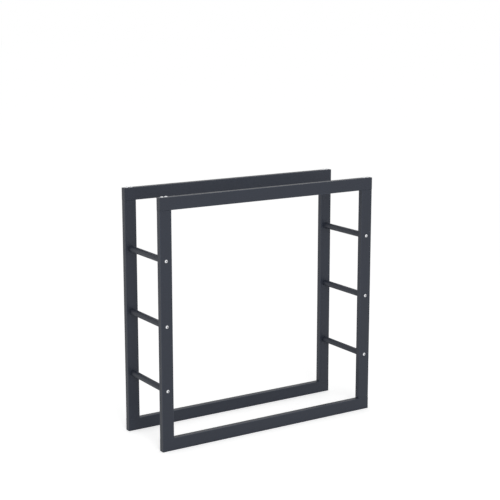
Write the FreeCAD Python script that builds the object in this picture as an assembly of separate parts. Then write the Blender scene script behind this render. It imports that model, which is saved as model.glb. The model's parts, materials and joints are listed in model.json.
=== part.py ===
"""Firewood rack: a front and a back frame of rectangular steel tube, held apart by round cross rods.

Millimetres, +Z up. The origin is on the floor, midway between the ends and between the two frames.
X runs along the rack, and the front frame is on the -Y side. Bar width is the side of the tube that
is seen from the front, and bar depth is the side that is seen from the end of the rack.
"""

import FreeCAD
import Part
import os

# Overall size, without the bolt heads that stand proud
rack_width = 800.0
rack_height = 800.0
rack_depth = 250.0

# Rectangular tube of the rails and uprights
bar_width = 40.0
bar_depth = 20.0
bar_wall = 1.2
bar_inner_radius = 0.3

# Plates welded onto the open ends of the rails
end_plate_thickness = 1.5
end_plate_edge_radius = 0.5
edge_radius_limit = 0.6

# Threaded plates welded into the ends of the uprights
nut_plate_thickness = 6.0
weld_gap = 0.1

# Round cross rods, in equal rows about the middle of the height, and their threaded end plugs
rod_diameter = 20.0
rod_wall = 1.2
rod_rows = ("lower", "middle", "upper")
rod_spacing = 205.0
rod_plug_length = 12.0

# Button head bolts
bolt_diameter = 6.0
bolt_head_diameter = 10.5
bolt_head_height = 3.3
bolt_head_rim = 0.5
bolt_socket_flats = 4.0
bolt_socket_depth = 2.3
bolt_tip_chamfer = 0.8
bolt_engagement = 10.0
corner_head_gap = 3.5

# Radial room around a bolt in a plain hole, in a thread and for its head in an access hole
hole_clearance = 0.3
thread_clearance = 0.05
access_clearance = 0.75

# Sizes that follow from those above
bar_outer_radius = bar_inner_radius + bar_wall
rail_length = rack_width - 2 * end_plate_thickness
upright_length = rack_height - 2 * bar_width
upright_x = (rack_width - bar_width) / 2
frame_y = (rack_depth - bar_depth) / 2
bottom_rail_z = bar_width / 2
top_rail_z = rack_height - bar_width / 2
rod_length = rack_depth - 2 * bar_depth
rod_bore = rod_diameter - 2 * rod_wall
corner_bolt_step = (bolt_head_diameter + corner_head_gap) / 2
plain_hole_radius = bolt_diameter / 2 + hole_clearance
thread_hole_radius = bolt_diameter / 2 + thread_clearance
access_hole_radius = bolt_head_diameter / 2 + access_clearance

ORIGIN = FreeCAD.Vector(0, 0, 0)
X = FreeCAD.Vector(1, 0, 0)
Y = FreeCAD.Vector(0, 1, 0)
Z = FreeCAD.Vector(0, 0, 1)
QUARTER_TURN = 90
HALF_TURN = 180
HEX_SIDES = 6

FACES = (("front", -1), ("back", 1))
HANDS = (("left", -1), ("right", 1))
CORNER_STEPS = (-corner_bolt_step, corner_bolt_step)


def at(x, y, z):
    return FreeCAD.Vector(x, y, z)


def export(name, shape):
    shape.exportStep("parts/" + name + ".step")


def bar(width, depth, length, radius):
    """A solid bar along Z from z = 0, centred on the axis, with its four long edges rounded."""
    box = Part.makeBox(width, depth, length, at(-width / 2, -depth / 2, 0))
    long_edges = [edge for edge in box.Edges if edge.BoundBox.ZLength > length / 2]
    return box.makeFillet(radius, long_edges)


def bar_tube(length):
    """The rectangular tube of the rails and uprights, along Z from z = 0."""
    bore_width = bar_width - 2 * bar_wall
    bore_depth = bar_depth - 2 * bar_wall
    outside = bar(bar_width, bar_depth, length, bar_outer_radius)
    return outside.cut(bar(bore_width, bore_depth, length, bar_inner_radius))


def along_x(shape):
    """Lay a shape that runs along Z down along X, with its width upright."""
    return shape.rotated(ORIGIN, Y, QUARTER_TURN)


def bolt(shank_length):
    """A button head bolt with a hexagon socket: the head stands on z = 0, the shank runs down from it."""
    shank_radius = bolt_diameter / 2
    head_radius = bolt_head_diameter / 2
    dome_height = bolt_head_height - bolt_head_rim
    dome_radius = (head_radius ** 2 + dome_height ** 2) / (2 * dome_height)
    dome_middle_x = head_radius / 2
    dome_centre_z = bolt_head_height - dome_radius
    dome_middle_z = dome_centre_z + (dome_radius ** 2 - dome_middle_x ** 2) ** 0.5
    crown = at(0, 0, bolt_head_height)
    rim = at(head_radius, 0, bolt_head_rim)
    tip = -shank_length
    corners = [
        rim,
        at(head_radius, 0, 0),
        at(shank_radius, 0, 0),
        at(shank_radius, 0, tip + bolt_tip_chamfer),
        at(shank_radius - bolt_tip_chamfer, 0, tip),
        at(0, 0, tip),
        crown,
    ]
    straight = [Part.makeLine(start, end) for start, end in zip(corners, corners[1:])]
    dome = Part.Arc(crown, at(dome_middle_x, 0, dome_middle_z), rim).toShape()
    outline = Part.Face(Part.Wire(straight + [dome]))
    return outline.revolve(ORIGIN, Z, 2 * HALF_TURN).cut(hex_socket())


def hex_socket():
    """The space that the key fills in a bolt's head."""
    floor = bolt_head_height - bolt_socket_depth
    first_corner = at(bolt_socket_flats / 3 ** 0.5, 0, floor)
    turns = [index * 2 * HALF_TURN / HEX_SIDES for index in range(HEX_SIDES + 1)]
    corners = [FreeCAD.Rotation(Z, turn).multVec(first_corner) for turn in turns]
    return Part.Face(Part.makePolygon(corners)).extrude(Z * (bolt_socket_depth + bolt_head_height))


def corner_holes(radius, start, length):
    """A pair of upright holes as the corner bolts stand, about the middle of the bar."""
    return [Part.makeCylinder(radius, length, at(step, 0, start)) for step in CORNER_STEPS]


def rail(access_holes):
    """A rail along X about its own middle, with the bolt holes of both its ends."""
    tube = along_x(bar_tube(rail_length)).translated(at(-rail_length / 2, 0, 0))
    underside = -bar_width / 2
    if access_holes:
        holes = corner_holes(plain_hole_radius, 0, bar_width / 2)
        holes += corner_holes(access_hole_radius, underside, bar_width / 2)
    else:
        holes = corner_holes(plain_hole_radius, underside, bar_width)
    for hand, side in HANDS:
        tube = tube.cut([hole.translated(at(side * upright_x, 0, 0)) for hole in holes])
    return tube


def end_plate():
    """A plate across the left end of a rail, with its outer edges eased."""
    plate = along_x(bar(bar_width, bar_depth, end_plate_thickness, bar_outer_radius))
    outer_edges = [edge for edge in plate.Edges if edge.BoundBox.XMax < end_plate_thickness / 2]
    eased = min(end_plate_edge_radius, edge_radius_limit * end_plate_thickness)
    return plate.makeFillet(eased, outer_edges).translated(at(-rack_width / 2, 0, 0))


def nut_plate():
    """The plate that closes an upright's top end, with its two threaded holes."""
    room = 2 * (bar_wall + weld_gap)
    plate = bar(bar_width - room, bar_depth - room, nut_plate_thickness, bar_inner_radius)
    plate = plate.cut(corner_holes(thread_hole_radius, 0, nut_plate_thickness))
    return plate.translated(at(0, 0, upright_length / 2 - nut_plate_thickness))


def rod_heights():
    """The name and the height of each row of rods."""
    lowest = (rack_height - (len(rod_rows) - 1) * rod_spacing) / 2
    return [(row, lowest + index * rod_spacing) for index, row in enumerate(rod_rows)]


def upright():
    """An upright at its own height, with a hole through both walls for each rod's bolt."""
    tube = bar_tube(upright_length).translated(at(0, 0, bar_width))
    places = [at(0, -bar_depth / 2, z) for row, z in rod_heights()]
    return tube.cut([Part.makeCylinder(plain_hole_radius, bar_depth, place, Y) for place in places])


def rod():
    """A cross rod along Y about its own middle."""
    start = at(0, -rod_length / 2, 0)
    outside = Part.makeCylinder(rod_diameter / 2, rod_length, start, Y)
    return outside.cut(Part.makeCylinder(rod_bore / 2, rod_length, start, Y))


def rod_plug():
    """The threaded plug in the front end of a rod, flush with that end."""
    start = at(0, -rod_length / 2, 0)
    outside = Part.makeCylinder(rod_bore / 2 - weld_gap, rod_plug_length, start, Y)
    return outside.cut(Part.makeCylinder(thread_hole_radius, rod_plug_length, start, Y))


def export_frame(face, y):
    """The rails, uprights and corner bolts of one frame, whose middle is at this y."""
    for level, z in (("bottom", bottom_rail_z), ("top", top_rail_z)):
        rail_name = face + "_" + level + "_rail"
        export(rail_name, rail(level == "bottom").translated(at(0, y, z)))
        for hand, side in HANDS:
            plate = end_plate() if side < 0 else end_plate().rotated(ORIGIN, Z, HALF_TURN)
            export(rail_name + "_" + hand + "_end_plate", plate.translated(at(0, y, z)))
    for hand, side in HANDS:
        upright_name = face + "_" + hand + "_upright"
        export(upright_name, upright().translated(at(side * upright_x, y, 0)))
        middle = at(side * upright_x, y, rack_height / 2)
        turned_plate = nut_plate().rotated(ORIGIN, X, HALF_TURN)
        export(upright_name + "_top_nut_plate", nut_plate().translated(middle))
        export(upright_name + "_bottom_nut_plate", turned_plate.translated(middle))
    top_bolt = bolt(bar_width + bolt_engagement)
    bottom_bolt = bolt(bar_wall + bolt_engagement).rotated(ORIGIN, X, HALF_TURN)
    export(face + "_top_corner_bolts", corner_bolt_group(top_bolt, y, rack_height))
    export(face + "_bottom_corner_bolts", corner_bolt_group(bottom_bolt, y, bar_width - bar_wall))


def corner_bolt_group(shape, y, seat):
    """The two bolts at each end of a rail, with their heads seated at this height."""
    places = [at(side * upright_x + step, y, seat) for hand, side in HANDS for step in CORNER_STEPS]
    return Part.makeCompound([shape.translated(place) for place in places])


def export_rods():
    """The cross rods with a plug in each end."""
    for hand, side in HANDS:
        for row, z in rod_heights():
            name = hand + "_" + row + "_rod"
            place = at(side * upright_x, 0, z)
            export(name, rod().translated(place))
            export(name + "_front_plug", rod_plug().translated(place))
            export(name + "_back_plug", rod_plug().rotated(ORIGIN, Z, HALF_TURN).translated(place))


def export_rod_bolts(face, outward):
    """The bolts that go through the uprights of one frame into the rods."""
    facing = bolt(bar_depth + bolt_engagement).rotated(ORIGIN, X, -outward * QUARTER_TURN)
    seat = outward * rack_depth / 2
    places = [at(side * upright_x, seat, z) for hand, side in HANDS for row, z in rod_heights()]
    export(face + "_rod_bolts", Part.makeCompound([facing.translated(place) for place in places]))


os.makedirs("parts", exist_ok=True)
for frame_name, frame_side in FACES:
    export_frame(frame_name, frame_side * frame_y)
    export_rod_bolts(frame_name, frame_side)
export_rods()
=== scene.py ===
"""Looks of the firewood rack: powder-coated tube, zinc-plated bolts, a white floor and soft light."""

import json
import math

import bpy
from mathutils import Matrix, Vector

# Camera, in metres, degrees and millimetres of its sensor
CAMERA_PLACE = (-2.1596, -3.3862, 1.3979)
CAMERA_TURN = 32.521
CAMERA_DIP = 11.211
CAMERA_LENS = 90.41
CAMERA_SHIFT = -0.015
SENSOR_WIDTH = 36.0
CLIP_NEAR = 0.05
CLIP_FAR = 100.0

# Floor and light, in metres and watts
FLOOR_REACH = 30.0
FLOOR_DROP = 0.0002
FLOOR_COLOUR = (0.86, 0.86, 0.86)
FLOOR_GLOW = 0.485
SKY_COLOUR = (1.0, 1.0, 1.0)
SKY_STRENGTH = 0.60
BACKGROUND_STRENGTH = 1.0
KEY_PLACE = (-1.2, -4.0, 1.7)
KEY_TARGET = (0.0, 0.0, 0.4)
KEY_SIZE = 2.0
KEY_POWER = 67.0

# Finishes: colours are linear, shades are factors on them, and sizes and depths are in metres
COAT_COLOUR = (0.027, 0.032, 0.045)
COAT_SPECULAR = 0.28
COAT_ROUGHNESS = (0.42, 0.50)
COAT_CLOUD = 0.09
COAT_CLOUD_DETAIL = 3.0
COAT_CLOUD_SHADE = (0.96, 1.04)
COAT_PEEL = 0.0028
COAT_PEEL_DETAIL = 2.0
COAT_PEEL_DEPTH = 0.00006
COAT_GRAIN = 0.0007
COAT_GRAIN_DETAIL = 2.0
COAT_GRAIN_DEPTH = 0.00008
COAT_GRAIN_SHADE = (0.88, 1.12)
# The edge lean and factor paint a highlight on the bars' rounded edges, where the coat is also thinner
# and a little lighter
COAT_EDGE_LEAN = 0.78
COAT_PAINTED_EDGE_HIGHLIGHT = 1.8
ZINC_COLOUR = (0.78, 0.79, 0.81)
ZINC_ROUGHNESS = (0.24, 0.38)
ZINC_GRAIN = 0.0009
ZINC_GRAIN_DETAIL = 4.0
ZINC_GRAIN_DEPTH = 0.000004
ZINC_GRAIN_SHADE = (0.94, 1.05)
# The recess reach, openness and factor paint shade into the bolts' sockets and other recesses
ZINC_RECESS = 0.003
ZINC_RECESS_OPENNESS = (0.40, 0.80)
ZINC_PAINTED_RECESS_SHADE = 0.03
STEEL_COLOUR = (0.42, 0.42, 0.43)
STEEL_ROUGHNESS = (0.34, 0.52)
STEEL_GRAIN = 0.0012
STEEL_GRAIN_DETAIL = 4.0
STEEL_GRAIN_SHADE = (0.86, 1.08)


class Nodes:
    """A short way to add linked nodes to one node tree."""

    NOISE_RANGE = (0.3, 0.7)

    def __init__(self, tree):
        self.tree = tree
        tree.nodes.clear()

    def add(self, kind, inputs=None, **settings):
        """A new node, with each input set to a value or linked to another node's output."""
        node = self.tree.nodes.new(kind)
        for name, value in settings.items():
            setattr(node, name, value)
        for name, value in (inputs or {}).items():
            socket = node.inputs[name]
            if isinstance(value, bpy.types.NodeSocket):
                self.tree.links.new(value, socket)
            else:
                socket.default_value = value
        return node

    def combine(self, operation, first, second):
        """The result of one operation on two values."""
        inputs = {0: first, 1: second}
        return self.add("ShaderNodeMath", inputs, operation=operation).outputs["Value"]

    def remap(self, value, known, wanted):
        """A value carried over from one range to another, and held within it."""
        inputs = {"Value": value, "From Min": known[0], "From Max": known[1]}
        inputs.update({"To Min": wanted[0], "To Max": wanted[1]})
        return self.add("ShaderNodeMapRange", inputs).outputs["Result"]

    def noise(self, size, detail):
        """Noise whose features have this size on the object."""
        place = self.add("ShaderNodeTexCoord").outputs["Object"]
        inputs = {"Vector": place, "Scale": 1.0 / size, "Detail": detail}
        return self.add("ShaderNodeTexNoise", inputs).outputs["Fac"]

    def spread(self, noise, wanted):
        """Noise, which lies mostly within its own range about a half, spread over another range."""
        return self.remap(noise, self.NOISE_RANGE, wanted)

    def tint(self, colour, shade):
        """A colour made lighter and darker by a shade about 1."""
        inputs = {"Vector": colour, "Scale": shade}
        return self.add("ShaderNodeVectorMath", inputs, operation="SCALE").outputs["Vector"]

    def bump(self, height, depth, normal=None):
        """The normal of a surface that rises by this depth where the height is 1."""
        inputs = {"Height": height, "Distance": depth}
        if normal is not None:
            inputs["Normal"] = normal
        return self.add("ShaderNodeBump", inputs).outputs["Normal"]

    def painted_edge_highlight(self, lean, shade):
        """A painted highlight on a bar along an axis: 1 on the flats, and this factor where the largest
        part of the normal has dropped to the lean, on the bar's rounded edges."""
        normal = self.add("ShaderNodeNewGeometry").outputs["Normal"]
        parts = self.add("ShaderNodeVectorMath", {0: normal}, operation="ABSOLUTE").outputs["Vector"]
        x, y, z = self.add("ShaderNodeSeparateXYZ", {"Vector": parts}).outputs
        largest = self.combine("MAXIMUM", self.combine("MAXIMUM", x, y), z)
        return self.remap(largest, (1.0, lean), (1.0, shade))

    def surface(self, shader):
        """Link a shader to the material's output."""
        self.add("ShaderNodeOutputMaterial", {"Surface": shader})


def new_material(name):
    """A new material, and the way to add nodes to its emptied tree."""
    material = bpy.data.materials.new(name)
    material.use_nodes = True
    return material, Nodes(material.node_tree)


def powder_coat(name, has_edges):
    """Matt powder coat: a fine grain on a gentle orange peel, a little cloudy, with a painted highlight
    on rounded edges, where the coat is also thinner.
    """
    material, nodes = new_material(name)
    peel = nodes.noise(COAT_PEEL, COAT_PEEL_DETAIL)
    grain = nodes.noise(COAT_GRAIN, COAT_GRAIN_DETAIL)
    cloud = nodes.noise(COAT_CLOUD, COAT_CLOUD_DETAIL)
    grain_shade = nodes.spread(grain, COAT_GRAIN_SHADE)
    shade = nodes.combine("MULTIPLY", grain_shade, nodes.spread(cloud, COAT_CLOUD_SHADE))
    # Painted highlight: the bars' rounded edges are lightened, partly for the thinner coat there
    if has_edges:
        painted_edge_highlight = nodes.painted_edge_highlight(COAT_EDGE_LEAN, COAT_PAINTED_EDGE_HIGHLIGHT)
        shade = nodes.combine("MULTIPLY", shade, painted_edge_highlight)
    shader = nodes.add(
        "ShaderNodeBsdfPrincipled",
        {
            "Base Color": nodes.tint(COAT_COLOUR, shade),
            "Roughness": nodes.spread(cloud, COAT_ROUGHNESS),
            "Specular IOR Level": COAT_SPECULAR,
            "Normal": nodes.bump(grain, COAT_GRAIN_DEPTH, nodes.bump(peel, COAT_PEEL_DEPTH)),
        },
    )
    nodes.surface(shader.outputs["BSDF"])
    return material


def zinc_plate():
    """Bright zinc plate with a faint cloudy grain, and painted shade that darkens its sockets."""
    material, nodes = new_material("zinc_plate")
    grain = nodes.noise(ZINC_GRAIN, ZINC_GRAIN_DETAIL)
    # Painted shade: ambient occlusion darkens the zinc in the sockets and other recesses
    openness = nodes.add("ShaderNodeAmbientOcclusion", {"Distance": ZINC_RECESS}).outputs["AO"]
    painted_recess_shade = nodes.remap(openness, ZINC_RECESS_OPENNESS, (ZINC_PAINTED_RECESS_SHADE, 1.0))
    shade = nodes.combine("MULTIPLY", nodes.spread(grain, ZINC_GRAIN_SHADE), painted_recess_shade)
    shader = nodes.add(
        "ShaderNodeBsdfPrincipled",
        {
            "Base Color": nodes.tint(ZINC_COLOUR, shade),
            "Metallic": 1.0,
            "Roughness": nodes.spread(grain, ZINC_ROUGHNESS),
            "Normal": nodes.bump(grain, ZINC_GRAIN_DEPTH),
        },
    )
    nodes.surface(shader.outputs["BSDF"])
    return material


def bare_steel():
    """Plain rolled steel with a mottled tone."""
    material, nodes = new_material("bare_steel")
    grain = nodes.noise(STEEL_GRAIN, STEEL_GRAIN_DETAIL)
    shader = nodes.add(
        "ShaderNodeBsdfPrincipled",
        {
            "Base Color": nodes.tint(STEEL_COLOUR, nodes.spread(grain, STEEL_GRAIN_SHADE)),
            "Metallic": 1.0,
            "Roughness": nodes.spread(grain, STEEL_ROUGHNESS),
        },
    )
    nodes.surface(shader.outputs["BSDF"])
    return material


def dress(frame):
    """Give each node the finish of its slot in the record. The round rods get no painted edge
    highlight.
    """
    bar_coat = powder_coat("bar_coat", True)
    rod_coat = powder_coat("rod_coat", False)
    finishes = {"powder_coat": bar_coat, "zinc": zinc_plate(), "bare_steel": bare_steel()}
    for part in frame["record"]["subparts"]:
        finish = rod_coat if part["node"].endswith("_rod") else finishes[part["material_slot"]]
        for slot in frame["nodes"][part["node"]].material_slots:
            slot.material = finish


def seen_directly(nodes):
    """1 for rays from the camera, in mirrors and through glass, and 0 for rays that light a surface."""
    path = nodes.add("ShaderNodeLightPath").outputs
    mirrored = nodes.combine("MAXIMUM", path["Is Camera Ray"], path["Is Glossy Ray"])
    return nodes.combine("MAXIMUM", mirrored, path["Is Transmission Ray"])


def make_floor():
    """A white floor that fades into the background and keeps the rack's soft shadow."""
    corners = [(-FLOOR_REACH, -FLOOR_REACH), (FLOOR_REACH, -FLOOR_REACH)]
    corners += [(FLOOR_REACH, FLOOR_REACH), (-FLOOR_REACH, FLOOR_REACH)]
    mesh = bpy.data.meshes.new("floor")
    mesh.from_pydata([(x, y, -FLOOR_DROP) for x, y in corners], [], [(0, 1, 2, 3)])
    floor = bpy.data.objects.new("floor", mesh)
    bpy.context.scene.collection.objects.link(floor)
    material, nodes = new_material("white_floor")
    lit = nodes.add("ShaderNodeBsdfDiffuse", {"Color": (*FLOOR_COLOUR, 1.0)}).outputs["BSDF"]
    strength = nodes.combine("MULTIPLY", seen_directly(nodes), FLOOR_GLOW)
    glow = nodes.add("ShaderNodeEmission", {"Strength": strength}).outputs["Emission"]
    nodes.surface(nodes.add("ShaderNodeAddShader", {0: lit, 1: glow}).outputs["Shader"])
    mesh.materials.append(material)


def make_world():
    """An even white dome, seen as plain white."""
    world = bpy.data.worlds.new("studio")
    world.use_nodes = True
    nodes = Nodes(world.node_tree)
    colour = (*SKY_COLOUR, 1.0)
    sky = nodes.add("ShaderNodeBackground", {"Color": colour, "Strength": SKY_STRENGTH})
    white = nodes.add("ShaderNodeBackground", {"Color": colour, "Strength": BACKGROUND_STRENGTH})
    mixed = nodes.add(
        "ShaderNodeMixShader",
        {"Fac": seen_directly(nodes), 1: sky.outputs["Background"], 2: white.outputs["Background"]},
    )
    nodes.add("ShaderNodeOutputWorld", {"Surface": mixed.outputs["Shader"]})
    bpy.context.scene.world = world


def make_lamp():
    """One large soft lamp at the front left of the rack, which bright metal doesn't mirror."""
    lamp = bpy.data.lights.new("key", "AREA")
    lamp.shape = "DISK"
    lamp.size = KEY_SIZE
    lamp.energy = KEY_POWER
    key = bpy.data.objects.new("key", lamp)
    key.location = KEY_PLACE
    key.rotation_euler = (Vector(KEY_TARGET) - key.location).to_track_quat("-Z", "Y").to_euler()
    key.visible_glossy = False
    bpy.context.scene.collection.objects.link(key)


def make_camera():
    """A long lens at the front left, a little above the rack and tilted down to it."""
    data = bpy.data.cameras.new("camera")
    data.sensor_width = SENSOR_WIDTH
    data.lens = CAMERA_LENS
    data.shift_y = CAMERA_SHIFT
    data.clip_start = CLIP_NEAR
    data.clip_end = CLIP_FAR
    camera = bpy.data.objects.new("camera", data)
    camera.location = CAMERA_PLACE
    camera.rotation_euler = (math.pi / 2 - math.radians(CAMERA_DIP), 0.0, math.radians(-CAMERA_TURN))
    bpy.context.scene.collection.objects.link(camera)
    bpy.context.scene.camera = camera


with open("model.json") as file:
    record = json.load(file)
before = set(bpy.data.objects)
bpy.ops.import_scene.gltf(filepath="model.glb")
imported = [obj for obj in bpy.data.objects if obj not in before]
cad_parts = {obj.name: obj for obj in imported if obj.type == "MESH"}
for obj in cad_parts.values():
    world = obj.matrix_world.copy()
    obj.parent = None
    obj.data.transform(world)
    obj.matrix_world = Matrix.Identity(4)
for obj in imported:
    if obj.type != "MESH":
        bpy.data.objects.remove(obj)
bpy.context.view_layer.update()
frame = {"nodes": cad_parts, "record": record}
bpy.context.scene.view_settings.view_transform = "Standard"
dress(frame)
make_floor()
make_world()
make_lamp()
make_camera()
